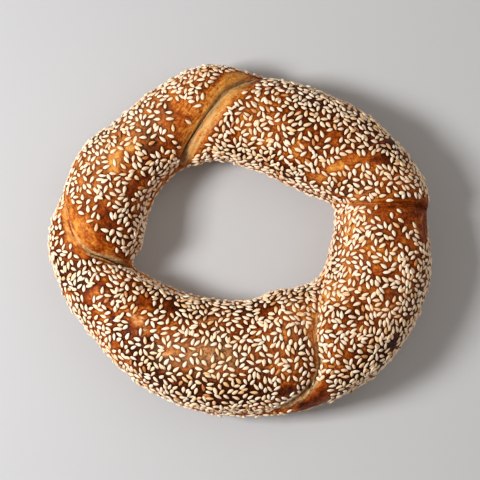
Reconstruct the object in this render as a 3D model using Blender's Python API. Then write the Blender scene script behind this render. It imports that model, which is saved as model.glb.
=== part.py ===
"""Simit: a ring of two dough strands twisted together, baked into one piece of bread.

One solid in metres, +Z up. It lies flat on its baked base. The origin is the middle of its
footprint, on the surface it rests on. Angles round the ring run anticlockwise from +X, seen
from above. Angles round the rope run from the outer side, over the crown, to the inner side.
"""

import bmesh
import bpy
import numpy as np

MM = 0.001
TAU = 2 * np.pi

# Driving dimensions
RING_WIDTH = 147 * MM
CROWN_HEIGHT = 1.66  # height of an average stretch of rope over its half-width
BASE_FLATTENED = 0.11  # share of the rope's round height that the baking tray presses flat
BASE_ROUNDING = 1.6 * MM  # how softly the side turns into the flat base
EVENNESS = 0.45  # share of the rope's height that stays the same all round the ring

# Sections across the rope: degrees round the ring, then the inner and the outer radius as
# shares of the ring's width.
SECTIONS = (
    (3, 0.235, 0.489),
    (18, 0.254, 0.503),
    (40, 0.207, 0.476),
    (62, 0.186, 0.450),
    (82, 0.190, 0.440),
    (104, 0.219, 0.473),
    (117, 0.233, 0.461),
    (135, 0.250, 0.463),
    (149, 0.252, 0.486),
    (165, 0.255, 0.492),
    (180, 0.262, 0.507),
    (192, 0.294, 0.492),
    (200, 0.262, 0.483),
    (215, 0.216, 0.464),
    (240, 0.172, 0.459),
    (270, 0.152, 0.458),
    (300, 0.153, 0.475),
    (318, 0.182, 0.490),
    (335, 0.219, 0.498),
    (350, 0.226, 0.502),
)

# Creases where one strand dives under the other: degrees round the ring at the outer side, the
# outer shoulder, the crown, the inner shoulder and the inner side, then the depth, and the
# lean: above 0 the strand before the crease lies over the one after it, below 0 the other way.
CREASES = (
    (9.0, 11.6, 13.8, 18.0, 25.0, 2.8 * MM, -0.6),
    (81.0, 92.0, 103.0, 119.0, 132.0, 3.6 * MM, 0.0),
    (160.0, 172.0, 185.0, 189.4, 194.2, 4.2 * MM, 0.9),
    (273.0, 298.0, 307.5, 323.5, 345.0, 4.2 * MM, -0.8),
)
CREASE_TURNS = (0, 1 / 4, 1 / 2, 3 / 4, 1)  # parts of the half turn made at those five
CREASES_END = -0.2  # sine of the rope angle, below the sides, where the creases have faded out
CREASES_FULL = 0.55  # sine of the rope angle above which they have their whole depth
SHOULDER = 8.0 * MM  # distance over which a strand rolls down into a crease
CREST_SHARE = 0.7  # the most of the way up to a strand's crest that its shoulder may take
LEAN_STEEPNESS = 0.4  # how much steeper the overlying strand's shoulder gets
LIP = 0.9 * MM  # how far the overlying strand stands above the one below it
LIP_REACH = 4.5 * MM
STRAND_BULGE = 0.03  # how far the strands make the rope's section lobed

SEGMENTS_ROUND_RING = 120
SEGMENTS_ROUND_ROPE = 34

CRUST_COLOUR = (0.42, 0.17, 0.05, 1.0)
CRUST_ROUGHNESS = 0.5


def round_the_ring(angle, stations, values, gain=0.0):
    """A smooth curve through the values at the stations, with no overshoot between them.

    The curve repeats after a lap of the ring, higher by the gain each time.
    """
    stations = np.radians(stations)
    values = np.array(values, float)
    x = np.concatenate([stations[-2:] - TAU, stations, stations[:2] + TAU])
    y = np.concatenate([values[-2:] - gain, values, values[:2] + gain])
    secant = np.diff(y) / np.diff(x)
    same_way = secant[:-1] * secant[1:] > 0
    together = np.where(same_way, secant[:-1] + secant[1:], 1.0)
    slope = np.where(same_way, 2 * secant[:-1] * secant[1:] / together, 0.0)
    laps = np.floor((angle - x[1]) / TAU)
    angle = angle - laps * TAU
    k = np.clip(np.searchsorted(x, angle, side="right") - 1, 1, len(x) - 3)
    step = x[k + 1] - x[k]
    rise = y[k + 1] - y[k]
    t = (angle - x[k]) / step
    early = (slope[k - 1] * step - rise) * (1 - t)
    late = (rise - slope[k] * step) * t
    return y[k] + rise * t + t * (1 - t) * (early + late) + laps * gain


def twist(ring_angle):
    """The turn of the two strands about the rope's centreline: half a turn at each crease."""
    stations = np.array([crease[:5] for crease in CREASES]).ravel()
    half_turns = np.arange(len(CREASES))[:, None] + CREASE_TURNS
    return round_the_ring(
        ring_angle, stations, np.pi * half_turns.ravel(), gain=np.pi * len(CREASES)
    )


def at_creases(ring_angle, column):
    """One of the creases' own values, passing smoothly from each crease to the next."""
    crowns = [crease[2] for crease in CREASES]
    return round_the_ring(ring_angle, crowns, [crease[column] for crease in CREASES])


def twist_rate(ring_angle):
    """Turn of the strands for each radian round the ring."""
    nudge = 0.002
    return (twist(ring_angle + nudge) - twist(ring_angle - nudge)) / (2 * nudge)


def crease_relief(ring_angle, rope_angle, strand_angle, centre_radius, half_width):
    """Height that the twist adds to the rope's round section: lobes, shoulders and lips.

    Creases lie at strand angles 0 and pi. The angle to the nearest one, over how fast that
    angle changes across the surface, is the distance to it. A shoulder is a parabola in that
    distance, so that two of them meet in a sharp line. Below the rope's sides they fade out.
    """
    to_crease = np.mod(strand_angle + np.pi / 2, np.pi) - np.pi / 2
    change = np.hypot(1 / half_width, twist_rate(ring_angle) / centre_radius)
    distance = np.abs(to_crease) / change
    lean = at_creases(ring_angle, 6) * np.sign(to_crease)
    up = np.clip((np.sin(rope_angle) - CREASES_END) / (CREASES_FULL - CREASES_END), 0, 1)
    strength = up * up * (3 - 2 * up)
    shoulder = np.minimum(SHOULDER, CREST_SHARE * (np.pi / 2) / change)
    shoulder = shoulder * (1 - LEAN_STEEPNESS * lean)
    groove = at_creases(ring_angle, 5) * np.clip(1 - distance / shoulder, 0, 1) ** 2
    rolled_over = distance / LIP_REACH * np.exp(1 - distance / LIP_REACH)
    lip = lean * LIP * rolled_over * np.cos(to_crease)
    lobes = -STRAND_BULGE / change * np.cos(2 * to_crease)
    return (lobes + lip - groove) * strength


def pressed_flat(height):
    """Heights below the tray's surface brought up to it, with a short round turn into the flat."""
    turning = (height + BASE_ROUNDING) ** 2 / (4 * BASE_ROUNDING)
    above = np.where(height > BASE_ROUNDING, height, turning)
    return np.where(height < -BASE_ROUNDING, 0.0, above)


def rope_section(ring_angle):
    """Radius of the rope's centreline, its half-width and its height, at angles round the ring."""
    degrees, inner, outer = (np.array(column) for column in zip(*SECTIONS))
    average = np.mean(outer - inner) / 2 * RING_WIDTH
    inner = round_the_ring(ring_angle, degrees, inner * RING_WIDTH)
    outer = round_the_ring(ring_angle, degrees, outer * RING_WIDTH)
    half_width = (outer - inner) / 2
    height = CROWN_HEIGHT * (EVENNESS * average + (1 - EVENNESS) * half_width)
    return (inner + outer) / 2, half_width, height


def simit_surface(ring_angle, strand_angle):
    """Points of the bread's surface, by the angle round the ring and round the twisted strands."""
    centre_radius, half_width, height = rope_section(ring_angle)
    rope_angle = strand_angle + twist(ring_angle)
    relief = crease_relief(ring_angle, rope_angle, strand_angle, centre_radius, half_width)
    half_height = height / (2 - 2 * BASE_FLATTENED)
    radius = centre_radius + (half_width + relief) * np.cos(rope_angle)
    rise = (half_height + relief) * np.sin(rope_angle)
    z = pressed_flat(height - half_height + rise)
    return np.stack(
        [radius * np.cos(ring_angle), radius * np.sin(ring_angle), z], axis=-1
    )


def even_along_strands(share):
    """Ring angles that lie at these shares of a strand's own length, counted from +X."""
    angle = np.linspace(0, TAU, 3601)
    centre_radius, half_width, _ = rope_section(angle)
    speed = np.hypot(centre_radius, half_width * twist_rate(angle))
    length = np.concatenate([[0], np.cumsum((speed[1:] + speed[:-1]) / 2)])
    return np.interp(share, length / length[-1], angle)


def centred(points):
    """The points moved sideways so that the middle of their footprint is the origin."""
    middle = (points.min(axis=0) + points.max(axis=0)) / 2
    return points - middle * [1, 1, 0]


def crust_material():
    material = bpy.data.materials.new("crust")
    material.use_nodes = True
    shader = material.node_tree.nodes["Principled BSDF"]
    shader.inputs["Base Color"].default_value = CRUST_COLOUR
    shader.inputs["Roughness"].default_value = CRUST_ROUGHNESS
    shader.inputs["Metallic"].default_value = 0.0
    return material


def make_simit(collection):
    """A torus whose points are carried to the bread's surface, its rings running along the strands."""
    bpy.ops.mesh.primitive_torus_add(
        major_segments=SEGMENTS_ROUND_RING,
        minor_segments=SEGMENTS_ROUND_ROPE,
        major_radius=2.0,
        minor_radius=1.0,
    )
    simit = bpy.context.object
    simit.name = simit.data.name = "simit"
    mesh = simit.data
    points = np.empty(len(mesh.vertices) * 3)
    mesh.vertices.foreach_get("co", points)
    x, y, z = points.reshape(-1, 3).T
    ring_angle = even_along_strands(np.mod(np.arctan2(y, x), TAU) / TAU)
    shaped = simit_surface(ring_angle, np.arctan2(z, np.hypot(x, y) - 2.0))
    mesh.vertices.foreach_set("co", centred(shaped).ravel())
    split = bmesh.new()
    split.from_mesh(mesh)
    bmesh.ops.triangulate(split, faces=split.faces[:], quad_method="SHORT_EDGE")
    split.to_mesh(mesh)
    split.free()
    mesh.shade_smooth()
    mesh.materials.append(crust_material())
    for home in list(simit.users_collection):
        home.objects.unlink(simit)
    collection.objects.link(simit)


def main():
    for obj in list(bpy.data.objects):
        bpy.data.objects.remove(obj)
    collection = bpy.data.collections.new("simit")
    bpy.context.scene.collection.children.link(collection)
    make_simit(collection)


main()
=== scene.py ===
import math

import bpy
import numpy as np
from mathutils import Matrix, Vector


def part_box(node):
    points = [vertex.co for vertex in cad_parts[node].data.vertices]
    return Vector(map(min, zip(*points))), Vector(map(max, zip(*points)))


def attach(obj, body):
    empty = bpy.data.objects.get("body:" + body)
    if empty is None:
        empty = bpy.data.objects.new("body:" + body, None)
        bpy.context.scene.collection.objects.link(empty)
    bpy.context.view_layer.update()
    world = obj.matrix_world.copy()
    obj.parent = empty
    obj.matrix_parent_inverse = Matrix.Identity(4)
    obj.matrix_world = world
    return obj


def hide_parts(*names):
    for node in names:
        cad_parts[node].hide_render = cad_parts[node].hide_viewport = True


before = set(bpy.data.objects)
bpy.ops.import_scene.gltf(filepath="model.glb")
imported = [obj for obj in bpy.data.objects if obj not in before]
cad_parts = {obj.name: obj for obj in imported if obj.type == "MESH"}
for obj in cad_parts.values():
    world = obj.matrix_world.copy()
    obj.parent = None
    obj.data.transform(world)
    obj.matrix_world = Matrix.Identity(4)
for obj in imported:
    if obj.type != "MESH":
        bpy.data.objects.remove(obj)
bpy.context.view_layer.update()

# The baked looks of the simit: its crust as one surface, and sesame seeds set into it.
# Angles round the ring run anticlockwise from +X, seen from above. Angles round the rope run
# from the outer side, over the crown, to the inner side. All sizes are metres unless named.

low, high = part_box("simit")

MM = 0.001
TAU = 2 * np.pi

# The ring's form, the same as the solid's
RING_WIDTH = high.x - low.x
MIDDLE = np.array([(low.x + high.x) / 2, (low.y + high.y) / 2, low.z])
CROWN_HEIGHT = 1.66  # height of an average stretch of rope over its half-width
BASE_FLATTENED = 0.11  # share of the rope's round height that is pressed flat
BASE_ROUNDING = 1.6 * MM
EVENNESS = 0.45  # share of the rope's height that stays the same all round the ring
SECTIONS = (  # degrees round the ring, inner and outer radius as shares of the ring's width
    (3, 0.235, 0.489),
    (18, 0.254, 0.503),
    (40, 0.207, 0.476),
    (62, 0.186, 0.450),
    (82, 0.190, 0.440),
    (104, 0.219, 0.473),
    (117, 0.233, 0.461),
    (135, 0.250, 0.463),
    (149, 0.252, 0.486),
    (165, 0.255, 0.492),
    (180, 0.262, 0.507),
    (192, 0.294, 0.492),
    (200, 0.262, 0.483),
    (215, 0.216, 0.464),
    (240, 0.172, 0.459),
    (270, 0.152, 0.458),
    (300, 0.153, 0.475),
    (318, 0.182, 0.490),
    (335, 0.219, 0.498),
    (350, 0.226, 0.502),
)
# Creases: degrees round the ring at the outer side, outer shoulder, crown, inner shoulder and
# inner side, then depth in mm, lean, bare skin in mm before and after the crease, stretched
# pale dough in mm before and after it, how deep the slit along it is and how much painted
# shade darkens it, and how tanned the pale dough is.
CREASES = (
    (9.0, 11.6, 13.8, 18.0, 25.0, 2.8, -0.6, 0.6, 0.3, 0.0, 0.0, 0.15, 0.0),
    (81.0, 92.0, 103.0, 119.0, 132.0, 3.6, 0.0, 4.4, 3.8, 4.1, 0.9, 0.8, 1.0),
    (160.0, 172.0, 185.0, 189.4, 194.2, 4.2, 0.9, 2.4, 1.9, 1.5, 1.4, 0.9, 0.0),
    (273.0, 298.0, 307.5, 323.5, 345.0, 4.2, -0.8, 1.6, -0.9, 2.0, 1.2, 0.9, 0.3),
)
CROWN, DEPTH, LEAN, SKIN_BEFORE, SKIN_AFTER, PALE_BEFORE, PALE_AFTER, SLIT, TAN = 2, 5, 6, 7, 8, 9, 10, 11, 12
CREASE_TURNS = (0, 1 / 4, 1 / 2, 3 / 4, 1)
CREASES_END = -0.2  # sine of the rope angle where the creases have faded out
CREASES_FULL = 0.55  # sine of the rope angle above which they have their whole depth
SHOULDER = 8.0 * MM
CREST_SHARE = 0.7
LEAN_STEEPNESS = 0.4
LIP = 0.9 * MM
LIP_REACH = 4.5 * MM
STRAND_BULGE = 0.03

# Finer form of the crust
STEPS_ROUND_RING = 560
STEPS_ROUND_ROPE = 176
CROWDING = 0.4  # how much closer together the mesh rows are at a crease
CRUST_BELOW_BOX = 0.45 * MM  # the crust lies this far inside the solid, to leave seeds room
BASE_CLEARANCE = 0.1 * MM  # the crust's base is this far above the surface it rests on
FOLD = 1.5 * MM  # how far an overlying strand's edge rolls out over the crease
FOLD_WIDTH = 1.1 * MM
SLIT_DEPTH = 1.1 * MM
SLIT_WIDTH = 0.45 * MM
SEED_CLEARANCE = 0.9  # mm by which a seed's middle stays off bare skin
FAR = 12.0  # mm from a crease past which the distance to it is no longer told apart
LUMPS = (  # size of the lumps and their height, in mm
    (24.0, 0.50),
    (10.0, 0.28),
    (4.2, 0.13),
    (1.9, 0.05),
)


def round_the_ring(angle, stations, values, gain=0.0):
    """A smooth curve through the values at the stations, with no overshoot between them.

    Between two stations it is a cubic whose slopes at the stations are the harmonic means of
    the slopes on both sides. It repeats after a lap, higher by the gain each time.
    """
    stations = np.radians(stations)
    values = np.array(values, float)
    x = np.concatenate([stations[-2:] - TAU, stations, stations[:2] + TAU])
    y = np.concatenate([values[-2:] - gain, values, values[:2] + gain])
    secant = np.diff(y) / np.diff(x)
    same_way = secant[:-1] * secant[1:] > 0
    together = np.where(same_way, secant[:-1] + secant[1:], 1.0)
    slope = np.where(same_way, 2 * secant[:-1] * secant[1:] / together, 0.0)
    laps = np.floor((angle - x[1]) / TAU)
    angle = angle - laps * TAU
    k = np.clip(np.searchsorted(x, angle, side="right") - 1, 1, len(x) - 3)
    step = x[k + 1] - x[k]
    rise = y[k + 1] - y[k]
    t = (angle - x[k]) / step
    early = (slope[k - 1] * step - rise) * (1 - t)
    late = (rise - slope[k] * step) * t
    return y[k] + rise * t + t * (1 - t) * (early + late) + laps * gain


def twist(ring_angle):
    """The turn of the two strands about the rope's centreline: half a turn at each crease."""
    stations = np.array([crease[:5] for crease in CREASES]).ravel()
    half_turns = np.arange(len(CREASES))[:, None] + CREASE_TURNS
    return round_the_ring(
        ring_angle, stations, np.pi * half_turns.ravel(), gain=np.pi * len(CREASES)
    )


def at_creases(ring_angle, column):
    """One of the creases' own values, passing smoothly from each crease to the next."""
    crowns = [crease[CROWN] for crease in CREASES]
    return round_the_ring(ring_angle, crowns, [crease[column] for crease in CREASES])


def twist_rate(ring_angle):
    """Turn of the strands for each radian round the ring."""
    nudge = 0.002
    return (twist(ring_angle + nudge) - twist(ring_angle - nudge)) / (2 * nudge)


def rope_section(ring_angle):
    """Radius of the rope's centreline, its half-width and its height, at angles round the ring."""
    degrees, inner, outer = (np.array(column) for column in zip(*SECTIONS))
    average = np.mean(outer - inner) / 2 * RING_WIDTH
    inner = round_the_ring(ring_angle, degrees, inner * RING_WIDTH)
    outer = round_the_ring(ring_angle, degrees, outer * RING_WIDTH)
    half_width = (outer - inner) / 2
    height = CROWN_HEIGHT * (EVENNESS * average + (1 - EVENNESS) * half_width)
    return (inner + outer) / 2, half_width, height


def smooth_step(low_end, high_end, value):
    """0 below the low end, 1 above the high end, and an S-shaped cubic between them."""
    t = np.clip((value - low_end) / (high_end - low_end), 0, 1)
    return t * t * (3 - 2 * t)


def bell(distance, width):
    """1 at no distance, falling as the exponential of minus the square of distance over width."""
    return np.exp(-((distance / width) ** 2))


def lumps(points, size, seed):
    """Smooth random heights from -1 to 1 in space: random values at the corners of cubes of
    that size, blended between the corners by an S-shaped cubic along each axis."""
    table = np.random.default_rng(seed).uniform(-1, 1, 8192)
    place = points / size + 64.0
    corner = np.floor(place).astype(np.int64)
    t = place - corner
    t = t * t * (3 - 2 * t)
    total = np.zeros(points.shape[:-1])
    for a in (0, 1):
        for b in (0, 1):
            for c in (0, 1):
                at = corner + [a, b, c]
                mixed = at[..., 0] * 73856093 ^ at[..., 1] * 19349663 ^ at[..., 2] * 83492791
                share = np.where([a, b, c], t, 1 - t).prod(axis=-1)
                total += share * table[mixed % 8192]
    return total


def crease_facts(ring_angle, rope_angle, strand_angle, centre_radius, half_width):
    """Where a point is about the nearest crease: signed distance, slope of angle, strength, lean.

    The distance is the strand angle left to the crease over how fast it changes across the
    surface, above 0 on the strand before the crease. The strength fades down the rope's sides.
    """
    to_crease = np.mod(strand_angle + np.pi / 2, np.pi) - np.pi / 2
    change = np.hypot(1 / half_width, twist_rate(ring_angle) / centre_radius)
    strength = smooth_step(CREASES_END, CREASES_FULL, np.sin(rope_angle))
    return to_crease / change, change, strength, at_creases(ring_angle, LEAN)


def crease_relief(ring_angle, rope_angle, strand_angle, centre_radius, half_width):
    """Height that the twist adds to the rope's round section.

    The lower strand's shoulder is a parabola in the distance to the crease. The strand that
    lies over it has a shoulder like a quarter of a circle, which ends steeply at the crease.
    """
    side, change, strength, lean = crease_facts(
        ring_angle, rope_angle, strand_angle, centre_radius, half_width
    )
    distance = np.abs(side)
    over = lean * np.sign(side)
    shoulder = np.minimum(SHOULDER, CREST_SHARE * (np.pi / 2) / change)
    shoulder = shoulder * (1 - LEAN_STEEPNESS * over)
    left = np.clip(1 - distance / shoulder, 0, 1)
    roundness = np.clip(over, 0, 1)
    profile = left**2 * (1 - roundness) + (1 - np.sqrt(1 - left**2)) * roundness
    groove = at_creases(ring_angle, DEPTH) * MM * profile
    rolled_over = distance / LIP_REACH * np.exp(1 - distance / LIP_REACH)
    lip = over * LIP * rolled_over * np.cos(distance * change)
    lobes = -STRAND_BULGE / change * np.cos(2 * distance * change)
    slit = SLIT_DEPTH * at_creases(ring_angle, SLIT) * bell(distance, SLIT_WIDTH)
    return (lobes + lip - groove - slit) * strength


def folded(ring_angle, strand_angle, centre_radius, half_width):
    """Strand angles moved so that the overlying strand's edge rolls out over the crease.

    The move grows with the distance from the crease up to the fold's width and then dies away.
    """
    rope_angle = strand_angle + twist(ring_angle)
    side, change, strength, lean = crease_facts(
        ring_angle, rope_angle, strand_angle, centre_radius, half_width
    )
    over = np.clip(lean * np.sign(side), 0, 1)
    reach = np.abs(side) / FOLD_WIDTH
    move = FOLD * over * strength * reach * np.exp(1 - reach)
    return strand_angle - np.sign(side) * move * change


def pressed_flat(height):
    """Heights below the tray's surface brought up to it, with a short round turn into the flat."""
    turning = (height + BASE_ROUNDING) ** 2 / (4 * BASE_ROUNDING)
    above = np.where(height > BASE_ROUNDING, height, turning)
    return np.where(height < -BASE_ROUNDING, 0.0, above)


def rope_points(ring_angle, strand_angle, relief=0.0):
    """Points of the twisted rope, with its creases, and raised by the relief."""
    centre_radius, half_width, height = rope_section(ring_angle)
    rope_angle = strand_angle + twist(ring_angle)
    raised = relief + crease_relief(
        ring_angle, rope_angle, strand_angle, centre_radius, half_width
    )
    rope_angle = folded(ring_angle, strand_angle, centre_radius, half_width) + twist(ring_angle)
    half_height = height / (2 - 2 * BASE_FLATTENED)
    radius = centre_radius + (half_width + raised) * np.cos(rope_angle)
    z = pressed_flat(height - half_height + (half_height + raised) * np.sin(rope_angle))
    return np.stack([radius * np.cos(ring_angle), radius * np.sin(ring_angle), z], axis=-1)


def even_along_strands(share):
    """Ring angles that lie at these shares of a strand's own length, counted from +X."""
    angle = np.linspace(0, TAU, 3601)
    centre_radius, half_width, _ = rope_section(angle)
    speed = np.hypot(centre_radius, half_width * twist_rate(angle))
    length = np.concatenate([[0], np.cumsum((speed[1:] + speed[:-1]) / 2)])
    return np.interp(share, length / length[-1], angle)


# Patches of the crust that differ from the rest. Each runs between two places, given by degrees
# round the ring and round the rope, and has a half-width in mm, a share of seeds that it keeps
# (above 1 they crowd), how much darker it is baked (below 0 lighter), and how pale it is torn.
PATCHES = (
    # skin below the crease on the right, out to the edge, and the sparse dough beside it
    (9.5, 0.0, 5.5, 4.0, 2.6, 0.0, 0.16, 0.0),
    (9.0, 16.0, 3.0, 18.0, 3.6, 0.0, 0.20, 0.0),
    (7.5, 36.0, 1.5, 33.0, 4.0, 0.0, 0.17, 0.0),
    (9.0, 58.0, 6.0, 58.0, 2.6, 0.0, 0.14, 0.0),
    (358.5, 73.0, 357.0, 59.0, 1.6, 0.0, 0.0, 0.0),
    (10.5, 76.0, 10.0, 96.0, 1.4, 0.10, 0.04, 0.0),
    (11.0, 96.0, 6.0, 73.0, 3.6, 0.40, 0.08, 0.0),
    (346.0, 98.0, 345.0, 92.0, 1.1, 0.0, -0.10, 0.0),
    (338.0, 73.0, 338.0, 71.0, 1.7, 0.0, 0.05, 0.0),
    (12.5, 47.0, 11.0, 7.0, 0.9, 0.0, 0.0, 0.0),
    # lobe at the top right: a stretch mark, dark and orange spots
    (35.0, 96.0, 29.5, 77.0, 1.3, 0.0, 0.02, 0.0),
    (29.5, 77.0, 28.0, 65.0, 1.3, 0.0, 0.22, 0.0),
    (38.0, 119.0, 36.0, 109.0, 1.3, 0.30, -0.18, 0.0),
    (33.5, 46.0, 32.5, 33.0, 0.9, 0.0, 0.15, 0.0),
    (44.5, 91.0, 44.0, 91.0, 1.3, 0.0, 0.0, 0.0),
    (47.5, 85.0, 45.5, 76.0, 0.7, 0.0, 0.05, 0.0),
    (39.5, 136.0, 38.5, 135.0, 1.5, 0.0, -0.10, 0.0),
    # lobe at the lower right
    (325.0, 34.0, 324.5, 32.0, 1.8, 0.0, 0.40, 0.0),
    (310.5, 61.0, 311.5, 55.0, 0.8, 0.0, -0.05, 0.0),
    (306.5, 54.0, 306.5, 53.0, 0.9, 0.0, -0.10, 0.0),
    # skin at the outer end of the crease at the bottom, and a dark spot beside it
    (297.5, 33.0, 291.0, 21.0, 2.2, 0.0, 0.20, 0.0),
    (290.5, 18.0, 283.5, 9.0, 1.4, 0.0, 0.24, 0.0),
    (297.0, 24.0, 293.0, 2.0, 2.0, 0.0, 0.20, 0.0),
    (291.0, 14.0, 286.0, -4.0, 2.2, 0.0, 0.26, 0.0),
    (285.5, 49.0, 286.0, 50.0, 2.4, 0.0, 0.40, 0.0),
    # rounded end of the lobe at the left, the strip outside its crease, and skin below it
    (171.0, 60.0, 174.5, 71.0, 1.5, 0.0, -0.06, 0.0),
    (175.5, 76.0, 181.0, 96.0, 2.2, 0.0, -0.05, 0.0),
    (182.0, 102.0, 187.0, 126.0, 1.9, 0.0, 0.0, 0.0),
    (168.5, 17.0, 182.0, 62.0, 1.3, 0.0, -0.14, 0.30),
    (184.0, 63.0, 185.5, 70.0, 0.9, 0.0, 0.0, 0.0),
    (167.5, 91.0, 170.0, 99.0, 1.5, 0.0, 0.12, 0.0),
    (173.0, 102.0, 175.0, 107.0, 1.4, 0.0, 0.10, 0.0),
    # lobe at the top left: bare skin, paler wrinkled dough near the shoulder
    (116.5, 72.0, 112.5, 83.0, 2.3, 0.0, -0.10, 0.0),
    (123.0, 75.0, 124.0, 88.0, 1.4, 0.0, 0.02, 0.0),
    (117.0, 89.0, 117.5, 103.0, 1.7, 0.0, 0.08, 0.0),
    (118.5, 85.0, 122.5, 127.0, 5.0, 0.55, 0.02, 0.0),
    (128.5, 114.0, 123.5, 118.0, 1.7, 0.10, 0.06, 0.0),
    (146.0, 78.0, 152.5, 89.0, 2.0, 0.50, -0.25, 0.15),
    (141.0, 84.0, 141.5, 86.0, 1.6, 0.40, -0.25, 0.12),
    (155.0, 27.0, 155.0, 26.0, 1.2, 0.0, -0.08, 0.0),
    (160.5, 53.0, 160.5, 54.0, 1.1, 0.0, -0.08, 0.0),
    (157.5, 122.0, 154.0, 127.0, 1.6, 0.0, 0.06, 0.0),
    (148.0, 132.0, 148.0, 134.0, 1.2, 0.0, 0.12, 0.0),
    (133.5, 88.0, 134.0, 105.0, 2.3, 0.50, 0.10, 0.0),
    # both ends of the crease at the top
    (90.0, 50.0, 82.0, 20.0, 3.0, 0.0, 0.30, 0.0),
    (119.0, 142.0, 125.0, 158.0, 2.2, 0.05, 0.16, 0.0),
    # lobe at the lower left: orange skin, pale tears, dark cracks
    (198.0, 90.0, 201.5, 57.0, 1.2, 0.0, 0.02, 0.0),
    (197.0, 21.0, 198.0, 18.0, 1.3, 0.0, 0.0, 0.0),
    (208.5, 73.0, 210.5, 74.0, 0.5, 0.20, 0.35, 0.0),
    (210.5, 74.0, 213.5, 66.0, 0.5, 0.20, 0.35, 0.0),
    (213.0, 104.0, 215.5, 108.0, 1.7, 0.0, 0.02, 0.0),
    (216.0, 89.0, 220.5, 84.0, 0.6, 0.10, -0.20, 0.65),
    (219.5, 92.0, 225.0, 83.0, 0.5, 0.10, -0.20, 0.75),
    (219.0, 78.0, 221.0, 71.0, 1.2, 0.0, 0.08, 0.0),
    (222.0, 124.0, 225.0, 122.0, 1.2, 0.2, 0.05, 0.0),
    (236.5, 73.0, 239.5, 78.0, 0.6, 0.0, -0.20, 0.80),
    (220.0, 45.0, 220.0, 44.0, 1.2, 0.0, -0.05, 0.0),
    (239.0, 53.0, 239.0, 52.0, 1.2, 0.0, 0.05, 0.0),
    # lobe at the bottom: paler dough with bare and torn spots
    (240.0, 80.0, 261.0, 90.0, 4.0, 0.90, -0.03, 0.0),
    (251.0, 95.0, 254.0, 88.0, 0.6, 0.25, -0.12, 0.65),
    (255.0, 88.0, 257.5, 82.0, 0.5, 0.25, -0.12, 0.80),
    (244.0, 84.0, 246.5, 79.0, 0.6, 0.25, -0.12, 0.50),
    (261.5, 93.0, 264.0, 90.0, 0.6, 0.35, -0.06, 0.40),
    (246.0, 67.0, 246.5, 66.0, 1.4, 0.0, -0.05, 0.0),
    (259.0, 74.0, 260.5, 73.0, 1.1, 0.10, 0.0, 0.0),
    (285.5, 141.0, 287.5, 133.0, 1.4, 0.25, 0.0, 0.0),
    (244.0, 118.0, 251.0, 128.0, 0.6, 0.30, -0.15, 0.40),
    # crowded seeds
    (328.0, 128.0, 358.0, 128.0, 6.5, 1.22, -0.05, 0.0),
    (306.0, 70.0, 336.0, 60.0, 9.0, 1.25, 0.0, 0.0),
    (84.0, 148.0, 106.0, 150.0, 4.5, 1.35, 0.0, 0.0),
    (62.0, 30.0, 40.0, 24.0, 5.0, 1.30, 0.0, 0.0),
    (20.0, 30.0, 24.0, 60.0, 4.5, 1.30, 0.0, 0.0),
    (98.0, 22.0, 118.0, 26.0, 5.0, 1.25, 0.0, 0.0),
    (172.0, 14.0, 200.0, 16.0, 4.0, 1.35, 0.0, 0.0),
    (228.0, 20.0, 278.0, 22.0, 4.0, 1.20, 0.0, 0.0),
)
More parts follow.
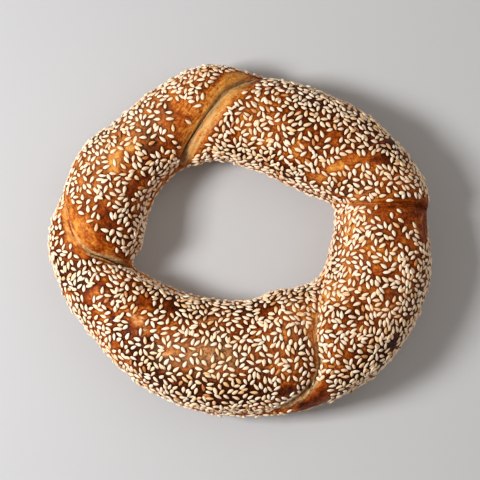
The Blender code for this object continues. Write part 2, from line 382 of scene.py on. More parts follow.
# Broad places that are darker or lighter, with no edge: partly crust that baked darker or
# lighter, partly painted shade on the shaded outer and inner sides and painted light on lit
# slopes. Degrees round the ring and the rope at both ends, how far they reach in mm, how much
# darker they are, and how tan the dough shows.
BAKE_AND_SHADE_TONES = (
    (128.0, 60.0, 158.0, 62.0, 9.0, -0.04, 0.18),
    (140.0, 30.0, 162.0, 36.0, 5.0, 0.13, 0.0),
    (152.0, 104.0, 160.0, 104.0, 5.0, -0.06, 0.05),
    (134.0, 112.0, 140.0, 116.0, 5.0, 0.09, 0.0),
    (108.0, 58.0, 116.0, 56.0, 5.0, -0.02, 0.08),
    (82.0, 92.0, 88.0, 88.0, 5.0, -0.08, 0.06),
    (64.0, 76.0, 40.0, 64.0, 8.0, 0.10, 0.0),
    (25.0, 82.0, 25.0, 90.0, 4.0, -0.10, 0.0),
    (38.0, 144.0, 24.0, 132.0, 5.0, 0.13, 0.05),
    (61.0, 152.0, 64.0, 150.0, 5.0, 0.10, 0.0),
    (28.0, 66.0, 30.0, 62.0, 4.0, 0.12, 0.0),
    (56.0, 153.0, 92.0, 150.0, 6.0, 0.30, 0.0),
    (28.0, 28.0, 66.0, 32.0, 8.0, 0.20, 0.0),
    (18.0, 112.0, 12.0, 142.0, 5.0, 0.0, 0.10),
    (12.0, 142.0, 0.0, 140.0, 5.0, -0.10, 0.18),
    (6.0, 108.0, -2.0, 106.0, 4.0, -0.08, 0.06),
    (342.0, 150.0, 348.0, 150.0, 4.0, 0.24, 0.0),
    (320.0, 124.0, 352.0, 136.0, 7.0, -0.07, 0.14),
    (306.0, 34.0, 324.0, 34.0, 6.0, 0.36, 0.0),
    (336.0, 32.0, 352.0, 30.0, 6.0, 0.14, 0.05),
    (320.0, 84.0, 325.0, 78.0, 4.0, 0.10, 0.0),
    (294.0, 30.0, 292.0, 14.0, 4.0, 0.20, 0.0),
    (330.0, 62.0, 338.0, 60.0, 5.0, -0.04, 0.06),
    (307.0, 124.0, 306.0, 108.0, 6.0, -0.13, 0.18),
    (294.0, 108.0, 290.0, 104.0, 5.0, -0.02, 0.10),
    (276.0, 132.0, 284.0, 128.0, 5.0, 0.10, 0.0),
    (278.0, 86.0, 290.0, 80.0, 6.0, -0.03, 0.06),
    (238.0, 42.0, 264.0, 44.0, 8.0, 0.36, 0.0),
    (270.0, 46.0, 276.0, 50.0, 6.0, 0.42, 0.0),
    (258.0, 88.0, 264.0, 88.0, 5.0, 0.10, 0.0),
    (240.0, 80.0, 261.0, 90.0, 6.0, 0.0, 0.32),
    (246.0, 118.0, 252.0, 116.0, 5.0, -0.02, 0.05),
    (216.0, 142.0, 276.0, 146.0, 7.0, 0.20, 0.0),
    (286.0, 152.0, 316.0, 162.0, 6.0, 0.36, 0.0),
    (221.0, 90.0, 223.0, 88.0, 3.0, 0.06, 0.0),
    (216.0, 45.0, 221.0, 44.0, 4.0, -0.08, 0.0),
    (261.0, 90.0, 263.0, 88.0, 4.0, 0.13, 0.0),
    (263.0, 52.0, 262.0, 56.0, 4.0, 0.10, 0.0),
    (214.0, 124.0, 230.0, 124.0, 6.0, 0.17, 0.0),
    (218.0, 64.0, 232.0, 60.0, 6.0, 0.20, 0.0),
    (230.0, 94.0, 236.0, 96.0, 5.0, 0.02, 0.0),
    (190.0, 36.0, 196.0, 70.0, 7.0, 0.27, 0.0),
    (198.0, 100.0, 210.0, 100.0, 5.0, 0.03, 0.0),
    (126.0, 144.0, 150.0, 140.0, 5.0, 0.08, 0.0),
)
# Little tears sunk into the crust: degrees round the ring and the rope, reach and depth in mm
SMALL_TEARS = (
    (208.5, 73.0, 0.8, 0.8),
    (211.5, 72.0, 0.8, 0.8),
    (228.5, 78.0, 1.0, 1.6),
    (222.0, 88.0, 0.8, 0.9),
    (231.0, 84.0, 0.9, 0.9),
    (138.4, 84.0, 0.8, 1.1),
)


def strip_distance(points, ring_from, rope_from, ring_to, rope_to):
    """Distance in mm from the points to a line over the crust between two places on it."""
    t = np.linspace(0, 1, 9)
    ring_angle = np.radians(ring_from + (ring_to - ring_from) * t)
    rope_angle = np.radians(rope_from + (rope_to - rope_from) * t)
    line = rope_points(ring_angle, rope_angle - twist(ring_angle))
    nearest = np.full(points.shape[:-1], np.inf)
    for place in line:
        nearest = np.minimum(nearest, np.linalg.norm(points - place, axis=-1))
    return nearest / MM


def crust_maps(points, ring_angle, rope_angle, strand_angle):
    """How the crust differs from place to place: seeds kept, bake with painted shade and light, paleness,
    painted shade in the slit, and wrinkles.

    Each map starts from noise and the distance to a crease, and the patches are blended in by
    an S-shaped step at their half-widths, with an edge made uneven by noise.
    """
    centre_radius, half_width, _ = rope_section(ring_angle)
    side, _, strength, _ = crease_facts(
        ring_angle, rope_angle, strand_angle, centre_radius, half_width
    )
    strength = strength * smooth_step(0.0, 0.25, np.abs(np.sin(twist(ring_angle))))
    distance = np.abs(side) / MM
    before = side > 0
    ragged = lumps(points, 3.5 * MM, 11) * 0.9 + lumps(points, 1.6 * MM, 12) * 0.4
    skin = np.where(
        before, at_creases(ring_angle, SKIN_BEFORE), at_creases(ring_angle, SKIN_AFTER)
    )
    skin = skin * strength + 0.2
    pale_width = np.where(
        before, at_creases(ring_angle, PALE_BEFORE), at_creases(ring_angle, PALE_AFTER)
    )
    pale_width = pale_width * strength
    seeds = smooth_step(-0.5, 0.5, (distance - skin - SEED_CLEARANCE + ragged * 0.8) / 0.9)
    seeds *= 0.92 + 0.16 * lumps(points, 9 * MM, 13)
    bake_and_shade = 0.37 + 0.06 * lumps(points, 21 * MM, 14) + 0.14 * lumps(points, 7 * MM, 15)
    bake_and_shade += 0.06 * np.sin(rope_angle)
    bake_and_shade -= 0.30 * (1 - smooth_step(0, 1, distance / (skin + 2.5))) * smooth_step(1.5, 4, skin)
    pale = 1 - smooth_step(0.6, 1.25, distance / np.maximum(pale_width, 0.05))
    pale = np.where(pale_width > 0.25, pale, 0.0)
    crowd = np.zeros(seeds.shape)
    for ring_from, rope_from, ring_to, rope_to, reach, kept, darker, paler in PATCHES:
        away = strip_distance(points, ring_from, rope_from, ring_to, rope_to) - reach
        inside = 1 - smooth_step(-0.8, 0.8, away + ragged * min(1.0, reach / 1.5))
        if kept > 1:
            crowd = np.maximum(crowd, inside * (kept - 1))
        else:
            seedless = 1 - smooth_step(-0.5, 0.5, away - SEED_CLEARANCE + ragged * 0.5)
            seeds *= 1 - seedless * (1 - kept)
        bake_and_shade += darker * inside
        pale = np.maximum(pale, paler * inside)
    # broad places add baking together with painted shade on shaded sides and painted light on lit slopes
    for ring_from, rope_from, ring_to, rope_to, reach, darker, tan in BAKE_AND_SHADE_TONES:
        away = strip_distance(points, ring_from, rope_from, ring_to, rope_to)
        bake_and_shade += darker * bell(away, reach)
        pale = np.maximum(pale, tan * bell(away, reach))
    seeds *= 1 - 0.6 * smooth_step(0.75, 0.95, -np.sin(rope_angle))
    return {
        "seeds": np.clip(seeds, 0, 1) * (1 + crowd),
        "bake_and_shade": np.clip(bake_and_shade, 0, 1),
        "pale": np.clip(pale, 0, 1),
        "tan": np.clip(at_creases(ring_angle, TAN), 0, 1) * bell(distance, 8.0),
        "bare": 1 - smooth_step(0.1, 0.6, seeds),
        # how much painted shade darkens the crease's slit
        "slit": at_creases(ring_angle, SLIT) * smooth_step(0.3, 0.8, strength),
        "stretch": (1 - smooth_step(1, 7, distance)) * strength,
        "distance": np.minimum(distance, FAR),
        "side": side / MM * bell(distance, FAR / 2),
    }


def crust_relief(points, ring_angle, rope_angle, strand_angle, maps):
    """Uneven height of the crust: lumps of several sizes, wrinkles along the stretched dough
    beside the creases, and a few small tears sunk into it."""
    relief = np.zeros(ring_angle.shape)
    for number, (size, rise) in enumerate(LUMPS):
        relief += rise * MM * lumps(points, size * MM, 20 + number)
    along = ring_angle * 9
    across = strand_angle * 24
    wrinkles = lumps(np.stack([along, np.cos(across), np.sin(across)], axis=-1), 0.8, 31)
    relief += 0.22 * MM * wrinkles * maps["stretch"]
    bare = np.clip(1 - maps["seeds"], 0, 1)
    relief += 0.16 * MM * bare * lumps(points, 1.5 * MM, 32)
    for ring, rope, reach, depth in SMALL_TEARS:
        away = strip_distance(points, ring, rope, ring + 1.2, rope + 3.0)
        relief -= depth * MM * bell(away, reach)
    return relief - CRUST_BELOW_BOX


def grid_normals(points):
    """Outward directions on a grid closed both ways: the cross product of its two steps."""
    round_ring = np.roll(points, -1, axis=0) - np.roll(points, 1, axis=0)
    round_rope = np.roll(points, -1, axis=1) - np.roll(points, 1, axis=1)
    normals = np.cross(round_ring, round_rope)
    return normals / np.maximum(np.linalg.norm(normals, axis=-1, keepdims=True), 1e-12)


def closed_grid_faces(rows, columns):
    """Quads of a grid that closes both ways, facing out."""
    i, j = np.meshgrid(np.arange(rows), np.arange(columns), indexing="ij")
    after_i, after_j = (i + 1) % rows, (j + 1) % columns
    corners = [
        i * columns + j,
        after_i * columns + j,
        after_i * columns + after_j,
        i * columns + after_j,
    ]
    return np.stack(corners, axis=-1).reshape(-1, 4)


def mesh_object(name, points, faces, attributes):
    """A smooth mesh object from whole arrays, with one number for each point per attribute."""
    mesh = bpy.data.meshes.new(name)
    points = np.asarray(points, np.float32).reshape(-1, 3)
    sizes = np.array([len(face) for face in faces]) if isinstance(faces, list) else None
    if sizes is None:
        sizes = np.full(len(faces), faces.shape[1])
        corners = faces.ravel()
    else:
        corners = np.concatenate(faces)
    mesh.vertices.add(len(points))
    mesh.vertices.foreach_set("co", points.ravel())
    mesh.loops.add(len(corners))
    mesh.loops.foreach_set("vertex_index", corners.astype(np.int32))
    mesh.polygons.add(len(sizes))
    mesh.polygons.foreach_set("loop_start", (np.cumsum(sizes) - sizes).astype(np.int32))
    mesh.update(calc_edges=True)
    mesh.validate()
    mesh.shade_smooth()
    for key, values in attributes.items():
        layer = mesh.attributes.new(key, "FLOAT", "POINT")
        layer.data.foreach_set("value", np.asarray(values, np.float32).ravel())
    made = bpy.data.objects.new(name, mesh)
    bpy.context.scene.collection.objects.link(made)
    return made


def crust_grid():
    """Angles, points and maps of the crust, on a grid that follows the strands."""
    share = np.arange(STEPS_ROUND_RING) / STEPS_ROUND_RING
    even = TAU * np.arange(STEPS_ROUND_ROPE) / STEPS_ROUND_ROPE
    across = even - CROWDING / 2 * np.sin(2 * even)
    ring_angle, strand_angle = np.meshgrid(even_along_strands(share), across, indexing="ij")
    rope_angle = strand_angle + twist(ring_angle)
    smooth = rope_points(ring_angle, strand_angle)
    maps = crust_maps(smooth, ring_angle, rope_angle, strand_angle)
    relief = crust_relief(smooth, ring_angle, rope_angle, strand_angle, maps)
    points = rope_points(ring_angle, strand_angle, relief)
    points[..., 2] = np.maximum(points[..., 2], BASE_CLEARANCE)
    whole = rope_points(ring_angle, strand_angle)
    middle = (whole.min(axis=(0, 1)) + whole.max(axis=(0, 1))) / 2 * [1, 1, 0]
    return points - middle + MIDDLE, maps


# Sesame seeds
SEED_LENGTH = 2.9 * MM
SEED_WIDTH = 1.42 * MM
SEED_THICKNESS = 0.85 * MM
SEED_SINK = 0.25  # share of a seed's thickness that is set into the crust
SEED_RINGS = (0.06, 0.22, 0.45, 0.70, 0.90)  # shares of the length where its sections lie
SEED_SIDES = 8
TRIES = 130000
TURNS = 4  # ways that each seed is turned to find room
BARE_GAP = 2.4 * MM  # room that seeds keep where hardly any stay
CROWDED_GAP = 0.7 * MM  # how far seeds overlap where they crowd, for a crowd of 1
SEED_CELL = 4.2 * MM
SEED_SHADE_REACH = 0.65 * MM  # reach of the painted shade on the crust round a seed
SEED_SHADE_CELLS = 5  # rows and columns of the crust's grid that the painted shade round a seed may reach
KINDS = (
    ("sesame_ivory", 0.48),
    ("sesame_cream", 0.42),
    ("sesame_golden", 0.08),
    ("sesame_toasted", 0.02),
)


def seed_form():
    """A sesame seed of length, width and thickness 1: points, faces and places along it.

    Half-width at a share s of the length is sin(pi s^0.75)^0.8 / 2: blunt at the start and
    drawn to a point at the end. The section is an ellipse squared off a little.
    """
    s = np.array(SEED_RINGS)
    half = np.sin(np.pi * s**0.75) ** 0.8 / 2
    turn = TAU * np.arange(SEED_SIDES) / SEED_SIDES
    wide = np.sign(np.cos(turn)) * np.abs(np.cos(turn)) ** 0.9
    tall = np.sign(np.sin(turn)) * np.abs(np.sin(turn)) ** 0.85
    rings = np.stack(
        [
            np.broadcast_to((s - 0.5)[:, None], (len(s), SEED_SIDES)),
            half[:, None] * wide,
            half[:, None] * tall,
        ],
        axis=-1,
    )
    points = np.concatenate([[[-0.5, 0, 0]], rings.reshape(-1, 3), [[0.5, 0, 0]]])
    along = np.concatenate([[0], np.repeat(s, SEED_SIDES), [1]])
    faces = []
    k = np.arange(SEED_SIDES)
    after = (k + 1) % SEED_SIDES
    last = len(points) - 1
    for a, b in zip(k, after):
        faces.append([0, 1 + b, 1 + a])
        faces.append([last, last - SEED_SIDES + a, last - SEED_SIDES + b])
        for ring in range(len(s) - 1):
            base = 1 + ring * SEED_SIDES
            faces.append([base + a, base + b, base + SEED_SIDES + b, base + SEED_SIDES + a])
    return points, faces, along


def chosen_places(points, maps, random):
    """Places on the crust drawn at random in proportion to area and to how many seeds stay:
    position, outward direction, direction round the ring, and the share of seeds there."""
    corner = points
    right = np.roll(points, -1, axis=0)
    up = np.roll(points, -1, axis=1)
    area = np.linalg.norm(np.cross(right - corner, up - corner), axis=-1)
    kept = maps["seeds"]
    weight = (area * (kept > 0.04) * kept).ravel()
    pick = random.choice(weight.size, TRIES, p=weight / weight.sum())
    i, j = np.unravel_index(pick, area.shape)
    a, b = random.random((2, TRIES))
    after_i = (i + 1) % points.shape[0]
    after_j = (j + 1) % points.shape[1]
    a, b = a[:, None], b[:, None]
    place = (
        points[i, j] * (1 - a) * (1 - b)
        + points[after_i, j] * a * (1 - b)
        + points[i, after_j] * (1 - a) * b
        + points[after_i, after_j] * a * b
    )
    normals = grid_normals(points)
    rounded = normals
    for step in (1, 2):
        rounded = rounded + sum(np.roll(normals, s, axis=x) for s in (-step, step) for x in (0, 1))
    rounded /= np.linalg.norm(rounded, axis=-1, keepdims=True)
    normal = rounded[i, j]
    forward = points[after_i, j] - points[i, j]
    forward -= normal * np.sum(forward * normal, axis=-1, keepdims=True)
    forward /= np.linalg.norm(forward, axis=-1, keepdims=True)
    return place, normal, forward, kept[i, j], (i, j)


def clear_of(spots, others, gap):
    """True if none of these circles comes within the gap of another seed's three circles."""
    for x, y, z, r in spots:
        for other in others:
            for ox, oy, oz, other_r in other:
                room = r + other_r + gap
                dx, dy, dz = x - ox, y - oy, z - oz
                if dx * dx + dy * dy + dz * dz < room * room:
                    return False
    return True


def scattered_seeds(points, maps):
    """Seeds laid one after another at random where they are clear of those already there.

    A seed is tried at a few random turns and kept at the first that is clear. Returns their
    places, directions and sizes as arrays.
    """
    random = np.random.default_rng(5)
    place, normal, forward, kept, cell = chosen_places(points, maps, random)
    sideways = np.cross(normal, forward)
    turns = random.uniform(0, TAU, (TRIES, TURNS))
    sizes = random.normal(1.0, 0.085, (TRIES, 3)).clip(0.78, 1.18)
    sizes = sizes * [SEED_LENGTH, SEED_WIDTH, SEED_THICKNESS]
    gaps = BARE_GAP * (1 - kept).clip(0) ** 2 - CROWDED_GAP * (kept - 1).clip(0)
    gaps += random.normal(0.20 * MM, 0.10 * MM, TRIES)
    crossing = random.random(TRIES) < 0.012
    cells = {}
    taken = []
    keys = np.floor(place / SEED_CELL).astype(int).tolist()
    for n in range(TRIES):
        cx, cy, cz = keys[n]
        near = []
        for a in (cx - 1, cx, cx + 1):
            for b in (cy - 1, cy, cy + 1):
                for c in (cz - 1, cz, cz + 1):
                    near.extend(cells.get((a, b, c), ()))
        length, width = sizes[n, 0], sizes[n, 1]
        gap = gaps[n] - (0.75 * MM if crossing[n] else 0.0)
        x, y, z = place[n].tolist()
        middle = (x, y, z, 0.5 * width)
        if not clear_of((middle,), near, gap):
            continue
        for turn in turns[n]:
            way = forward[n] * math.cos(turn) + sideways[n] * math.sin(turn)
            dx, dy, dz = (way * length * 0.29).tolist()
            blunt = (x - dx, y - dy, z - dz, 0.42 * width)
            pointed = (x + dx, y + dy, z + dz, 0.31 * width)
            if clear_of((blunt, pointed), near, gap):
                cells.setdefault((cx, cy, cz), []).append((blunt, middle, pointed))
                taken.append((n, turn))
                break
    chosen = np.array([n for n, _ in taken])
    turn = np.array([turn for _, turn in taken])
    cosine, sine = np.cos(turn)[:, None], np.sin(turn)[:, None]
    way = forward[chosen] * cosine + sideways[chosen] * sine
    cell = (cell[0][chosen], cell[1][chosen])
    return place[chosen], normal[chosen], way, sizes[chosen], crossing[chosen], cell


def painted_seed_shade(points, place, normal, way, sizes, cell):
    """Painted shade round the seeds: how near each point of the crust's grid is to a seed, 1 under it, 0 past
    the shade's reach.

    Each point's distances along and across a seed are divided by the seed's half-sizes, both
    grown by a margin. Their root of squares is 1 at the end of the painted shade. The nearest seed counts.
    """
    rows, columns = points.shape[:2]
    steps = np.arange(-SEED_SHADE_CELLS, SEED_SHADE_CELLS + 1)
    near_i = (cell[0][:, None, None] + steps[:, None]) % rows
    near_j = (cell[1][:, None, None] + steps) % columns
    away = points[near_i, near_j] - place[:, None, None]
    along = np.einsum("nijk,nk->nij", away, way)
    across = np.einsum("nijk,nk->nij", away, np.cross(normal, way))
    half_length = (sizes[:, 0] / 2 + SEED_SHADE_REACH)[:, None, None]
    half_width = (sizes[:, 1] / 2 + SEED_SHADE_REACH)[:, None, None]
    near = 1 - smooth_step(0.45, 1.1, np.hypot(along / half_length, across / half_width))
    nearest = np.zeros((rows, columns))
    near_i, near_j = np.broadcast_arrays(near_i, near_j)
    np.maximum.at(nearest, (near_i, near_j), near)
    return nearest


def seed_points(place, normal, way, sizes, raised, random):
    """Every seed's points: the seed's form scaled, bent a little, tilted and set into the crust."""
    form, faces, along = seed_form()
    count = len(place)
    tilt = random.normal(0, 0.06, count) + raised * random.uniform(0.12, 0.30, count)
    roll = random.normal(0, 0.08, count)
    across = np.cross(normal, way)
    long_way = way * np.cos(tilt)[:, None] + normal * np.sin(tilt)[:, None]
    up = np.cross(long_way, across)
    wide_way = across * np.cos(roll)[:, None] + up * np.sin(roll)[:, None]
    up = np.cross(long_way, wide_way)
    lift = sizes[:, 2] * (0.5 - SEED_SINK) + random.normal(0, 0.05 * MM, count)
    lift = lift + raised * 0.45 * MM
    bend = random.normal(0, 0.05, count)
    scaled = form[None] * sizes[:, None]
    scaled[..., 1] += bend[:, None] * sizes[:, None, 1] * (4 * form[:, 0] ** 2)
    points = (
        (place + normal * lift[:, None])[:, None]
        + scaled[..., :1] * long_way[:, None]
        + scaled[..., 1:2] * wide_way[:, None]
        + scaled[..., 2:] * up[:, None]
    )
    points[..., 2] = np.maximum(points[..., 2], 0.0)
    return points, faces, along


def make_seeds(points, maps):
    """The sesame seeds, as one piece for each kind."""
    place, normal, way, sizes, raised, cell = scattered_seeds(points, maps)
    # painted shade round each seed: the crust is darkened there in place of the seeds' contact shadows
    maps["seed_shade"] = painted_seed_shade(points, place, normal, way, sizes, cell)
    random = np.random.default_rng(8)
    seeds, faces, along = seed_points(place, normal, way, sizes, raised, random)
    count, corners = seeds.shape[:2]
    tone = 0.7 * random.random(count) + 0.2 + 0.3 * lumps(place, 13 * MM, 41)
    # seeds darken with the crust's darkness map: partly toasting, partly painted shade on the shaded sides
    tone += 0.4 * maps["pale"][cell] + 0.8 * (maps["bake_and_shade"][cell] - 0.45).clip(0)
    kind = random.random(count)
    made = []
    start = 0.0
    for name, share in KINDS:
        mine = np.flatnonzero((kind >= start) & (kind < start + share))
        start += share
        all_faces = []
        for offset in np.arange(len(mine)) * corners:
            all_faces.extend([np.add(face, offset) for face in faces])
        attributes = {
            "tone": np.repeat(tone[mine], corners),
            "along": np.tile(along, len(mine)),
        }
        made.append(mesh_object(name, seeds[mine], all_faces, attributes))
    return made


# Materials

def colour(red, green, blue):
    """A linear colour with full alpha from the three 0 to 255 values that a paint chart gives."""
    share = np.array([red, green, blue]) / 255
    linear = np.where(share <= 0.04045, share / 12.92, ((share + 0.055) / 1.055) ** 2.4)
    return (*linear.tolist(), 1.0)


class Nodes:
    """Short ways to add and join a material's nodes."""

    def __init__(self, name):
        self.material = bpy.data.materials.new(name)
        self.material.use_nodes = True
        self.tree = self.material.node_tree
        self.shader = self.tree.nodes["Principled BSDF"]
        self.object = self.add("ShaderNodeTexCoord").outputs["Object"]

    def add(self, kind, **settings):
        node = self.tree.nodes.new(kind)
        for key, value in settings.items():
            setattr(node, key, value)
        return node

    def put(self, socket, value):
        if isinstance(value, bpy.types.NodeSocket):
            self.tree.links.new(value, socket)
        else:
            socket.default_value = value

    def read(self, name):
        return self.add("ShaderNodeAttribute", attribute_name=name).outputs["Fac"]

    def noise(self, size, detail=2.0, roughness=0.5, distortion=0.0):
        """Soft noise from 0 to 1 whose features are about this size, in metres."""
        node = self.add("ShaderNodeTexNoise")
        self.put(node.inputs["Vector"], self.object)
        self.put(node.inputs["Scale"], 1 / size)
        self.put(node.inputs["Detail"], detail)
        self.put(node.inputs["Roughness"], roughness)
        self.put(node.inputs["Distortion"], distortion)
        return node.outputs["Fac"]

    def streaks(self, across, length):
        """Noise drawn out to about this length in metres along lines where across is the same."""
        slow = self.add("ShaderNodeVectorMath", operation="SCALE")
        self.put(slow.inputs[0], self.object)
        self.put(slow.inputs["Scale"], 1 / length)
        parts = self.add("ShaderNodeSeparateXYZ")
        self.put(parts.inputs[0], slow.outputs[0])
        joined = self.add("ShaderNodeCombineXYZ")
        self.put(joined.inputs[0], parts.outputs[0])
        self.put(joined.inputs[1], parts.outputs[1])
        self.put(joined.inputs[2], across)
        node = self.add("ShaderNodeTexNoise")
        self.put(node.inputs["Vector"], joined.outputs[0])
        self.put(node.inputs["Scale"], 1.0)
        self.put(node.inputs["Detail"], 3.0)
        return node.outputs["Fac"]

    def maths(self, operation, a, b=0.0, clamp=False):
        node = self.add("ShaderNodeMath", operation=operation, use_clamp=clamp)
        self.put(node.inputs[0], a)
        self.put(node.inputs[1], b)
        return node.outputs[0]

    def remap(self, value, from_low, from_high, to_low, to_high):
        node = self.add("ShaderNodeMapRange")
        for number, item in enumerate((value, from_low, from_high, to_low, to_high)):
            self.put(node.inputs[number], item)
        return node.outputs["Result"]

    def ramp(self, value, stops):
        node = self.add("ShaderNodeValToRGB")
        self.put(node.inputs["Fac"], value)
        elements = node.color_ramp.elements
        while len(elements) < len(stops):
            elements.new(0.5)
        for element, (position, rgba) in zip(elements, stops):
            element.position = position
            element.color = rgba
        return node.outputs["Color"]

    def mix(self, share, a, b, blend="MIX"):
        node = self.add("ShaderNodeMix", data_type="RGBA", blend_type=blend)
        self.put(node.inputs["Factor"], share)
        self.put(node.inputs[6], a)
        self.put(node.inputs[7], b)
        return node.outputs[2]

    def bump(self, height, strength, distance, below=None):
        node = self.add("ShaderNodeBump")
        self.put(node.inputs["Height"], height)
        self.put(node.inputs["Strength"], strength)
        self.put(node.inputs["Distance"], distance)
        if below is not None:
            self.put(node.inputs["Normal"], below)
        return node.outputs["Normal"]


# Painted shade in lines along a crease's slit: mm from it, half-width in mm and how dark each is
SLIT_SHADE_LINES = ((0.1, 0.38, 1.0), (0.85, 0.28, 0.5), (-0.85, 0.28, 0.4))


def crust_material():
    """Browned crust: darker where it baked more, with painted shade round each seed and painted
    shade and light in broad places, orange beside the creases, pale where it tore.

    Thin dark lines of painted shade run along the creases where the wobbling distance to the
    crease is least, and streaks of lighter and darker skin run beside them.
    """
    n = Nodes("baked_crust")
    fine = n.noise(0.8 * MM, 2.0, 0.6)
    mottle = n.noise(2.0 * MM, 4.0, 0.65, 0.9)
    broad = n.noise(5.5 * MM, 3.0, 0.55, 0.4)
    distance = n.read("distance")
    side = n.read("side")
    stretch = n.read("stretch")
    bare = n.read("bare")
    streaks = n.streaks(n.maths("MULTIPLY", distance, 1.1), 9 * MM)
    strokes = n.streaks(n.maths("MULTIPLY", distance, 1.5), 2.4 * MM)
    # the darkness map holds baking together with painted shade and light in broad places
    bake_and_shade = n.maths("ADD", n.read("bake_and_shade"), n.remap(broad, 0.3, 0.7, -0.12, 0.12))
    spots = n.maths("ADD", n.remap(mottle, 0.38, 0.62, -0.14, 0.14), n.remap(fine, 0.3, 0.7, -0.1, 0.1))
    spots = n.maths("MULTIPLY", spots, n.remap(bare, 0.0, 1.0, 1.0, 0.7))
    bake_and_shade = n.maths("ADD", bake_and_shade, spots)
    streaked = n.maths("MULTIPLY", n.remap(streaks, 0.3, 0.7, -0.22, 0.22), stretch)
    bake_and_shade = n.maths("ADD", bake_and_shade, streaked)
    rough_skin = n.maths("MULTIPLY", bare, n.remap(stretch, 0.0, 1.0, 1.0, 0.35))
    stroked = n.maths("MULTIPLY", n.remap(strokes, 0.36, 0.64, -0.13, 0.13), rough_skin)
    bake_and_shade = n.maths("ADD", bake_and_shade, stroked)
    # painted shade round each seed, deeper where the crust is darker, added to the crust's darkness
    seed_shade = n.maths("MULTIPLY", n.read("seed_shade"), n.remap(n.read("bake_and_shade"), 0.2, 0.55, 0.14, 0.46))
    bake_and_shade = n.maths("ADD", bake_and_shade, seed_shade, clamp=True)
    brown = n.ramp(
        bake_and_shade,
        (
            (0.05, colour(230, 174, 92)),
            (0.22, colour(204, 134, 50)),
            (0.38, colour(169, 89, 17)),
            (0.54, colour(132, 56, 3)),
            (0.74, colour(90, 32, 0)),
            (0.95, colour(50, 13, 0)),
        ),
    )
    reddened = n.mix(1.0, brown, colour(255, 238, 215), "MULTIPLY")
    brown = n.mix(bare, brown, reddened)
    flecks = n.remap(n.noise(0.95 * MM, 1.0, 0.5, 0.8), 0.54, 0.66, 0.0, 0.5)
    flecks = n.maths("MULTIPLY", flecks, n.remap(n.read("bake_and_shade"), 0.25, 0.5, 1.0, 0.1))
    flecked = n.mix(n.maths("MULTIPLY", flecks, bare), brown, colour(234, 166, 104))
    streak = n.remap(streaks, 0.38, 0.62, 0.0, 1.0)
    from_line = n.remap(distance, 1.0, 2.4, 0.0, 1.0)
    near_line = n.mix(streak, colour(232, 200, 152), colour(192, 150, 98))
    away_from_line = n.mix(streak, colour(242, 200, 144), colour(220, 160, 100))
    pale = n.mix(from_line, near_line, away_from_line)
    near_line = n.mix(streak, colour(178, 149, 110), colour(150, 120, 84))
    away_from_line = n.mix(streak, colour(214, 168, 98), colour(194, 138, 68))
    tanned = n.mix(from_line, near_line, away_from_line)
    pale = n.mix(n.read("tan"), pale, tanned)
    torn = n.remap(n.noise(1.6 * MM, 3.0, 0.6, 1.0), 0.40, 0.60, 0.3, 1.5)
    # pale torn dough is held back under the painted shade round the seeds
    torn = n.maths("MULTIPLY", torn, n.remap(n.read("seed_shade"), 0.0, 1.0, 1.0, 0.35))
    torn = n.maths("MULTIPLY", n.read("pale"), torn, clamp=True)
    blended = n.mix(torn, flecked, pale)
    wobble = n.remap(n.noise(2.2 * MM, 2.0), 0.2, 0.8, -0.55, 0.55)
    near_crease = n.remap(distance, 1.6, 2.6, 1.0, 0.0)
    # painted shade in the crease's slit: dark lines where the crevice lies in shade
    dark = n.maths("MULTIPLY", n.read("slit"), near_crease)
    for offset, width, share in SLIT_SHADE_LINES:
        off_line = n.maths("ABSOLUTE", n.maths("SUBTRACT", n.maths("ADD", side, wobble), offset))
        line = n.maths("MULTIPLY", n.remap(off_line, 0.0, width, share, 0.0), dark)
        blended = n.mix(line, blended, colour(62, 40, 16))
    n.put(n.shader.inputs["Base Color"], blended)
    rough = n.remap(n.noise(2.4 * MM, 2.0), 0.3, 0.7, 0.38, 0.58)
    n.put(n.shader.inputs["Roughness"], rough)
    n.put(n.shader.inputs["Specular IOR Level"], 0.08)
    blisters = n.bump(n.noise(0.9 * MM, 3.0, 0.6), 0.5, 0.35 * MM)
    dents = n.bump(n.noise(2.4 * MM, 3.0, 0.55, 0.8), 0.5, 0.8 * MM, blisters)
    n.put(n.shader.inputs["Normal"], dents)
    return n.material


def seed_material(name, light, dark):
    """Hulled sesame: waxy, a little see-through at the edges, browner towards its two ends."""
    n = Nodes(name)
    tone = n.maths("ADD", n.read("tone"), n.remap(n.noise(0.8 * MM), 0.3, 0.7, -0.15, 0.15))
    body = n.mix(tone, light, dark)
    ends = n.maths("ABSOLUTE", n.maths("SUBTRACT", n.read("along"), 0.45))
    ends = n.remap(ends, 0.30, 0.55, 0.0, 0.5)
    n.put(n.shader.inputs["Base Color"], n.mix(ends, body, dark))
    n.put(n.shader.inputs["Roughness"], 0.42)
    n.put(n.shader.inputs["Subsurface Weight"], 0.15)
    n.put(n.shader.inputs["Subsurface Radius"], (1.0, 0.6, 0.3))
    n.put(n.shader.inputs["Subsurface Scale"], 0.6 * MM)
    return n.material


def floor_material():
    n = Nodes("pale_floor")
    n.put(n.shader.inputs["Base Color"], (0.51, 0.53, 0.57, 1.0))
    n.put(n.shader.inputs["Roughness"], 0.75)
    return n.material


# Studio

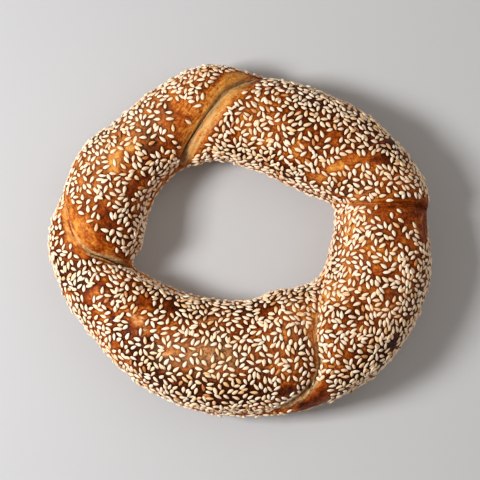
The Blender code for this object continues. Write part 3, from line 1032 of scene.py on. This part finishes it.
def make_camera():
    """Looks down on the ring from in front, nearly square to it."""
    aim = np.array([0.0, 0.0, 0.012])
    elevation = math.radians(84)
    distance = 0.60
    data = bpy.data.cameras.new("camera")
    data.lens = 117
    camera = bpy.data.objects.new("camera", data)
    back = np.array([0.0, -math.cos(elevation), math.sin(elevation)])
    camera.location = aim + back * distance
    camera.rotation_euler = (math.pi / 2 - elevation, 0.0, 0.0)
    bpy.context.scene.collection.objects.link(camera)
    bpy.context.scene.camera = camera


def make_light(name, azimuth, elevation, distance, size, power, tint):
    """A square lamp that faces the ring from an angle anticlockwise of +X, seen from above."""
    a, e = math.radians(azimuth), math.radians(elevation)
    data = bpy.data.lights.new(name, "AREA")
    data.shape = "SQUARE"
    data.size = size
    data.energy = power
    data.color = tint
    lamp = bpy.data.objects.new(name, data)
    flat = math.cos(e) * distance
    lamp.location = (flat * math.cos(a), flat * math.sin(a), math.sin(e) * distance)
    lamp.rotation_euler = (math.pi / 2 - e, 0.0, a + math.pi / 2)
    bpy.context.scene.collection.objects.link(lamp)


def make_studio():
    floor = mesh_object(
        "floor",
        np.array([[-2, -2, 0], [2, -2, 0], [2, 2, 0], [-2, 2, 0]]),
        np.array([[0, 1, 2, 3]]),
        {},
    )
    floor.data.materials.append(floor_material())
    make_light("key", 184, 46, 0.75, 0.20, 6.4, (1.0, 0.97, 0.92))
    make_light("fill", 20, 52, 0.9, 0.8, 1.7, (1.0, 0.89, 0.77))
    world = bpy.data.worlds.new("room")
    world.use_nodes = True
    background = world.node_tree.nodes["Background"]
    background.inputs["Color"].default_value = (1.0, 0.93, 0.84, 1.0)
    background.inputs["Strength"].default_value = 0.25
    bpy.context.scene.world = world
    bpy.context.scene.view_settings.view_transform = "Standard"


def main():
    make_camera()
    points, maps = crust_grid()
    seeds = make_seeds(points, maps)
    crust = mesh_object(
        "crust",
        points,
        closed_grid_faces(*points.shape[:2]),
        {key: values for key, values in maps.items() if key != "seeds"},
    )
    crust.data.materials.append(crust_material())
    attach(crust, "root")
    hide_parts("simit")
    tints = (
        (colour(255, 240, 220), colour(254, 224, 192)),
        (colour(255, 233, 207), colour(251, 214, 173)),
        (colour(250, 214, 172), colour(236, 186, 130)),
        (colour(230, 170, 104), colour(188, 114, 54)),
    )
    for piece, (light, dark) in zip(seeds, tints):
        piece.data.materials.append(seed_material(piece.name, light, dark))
        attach(piece, "root")
    make_studio()


main()
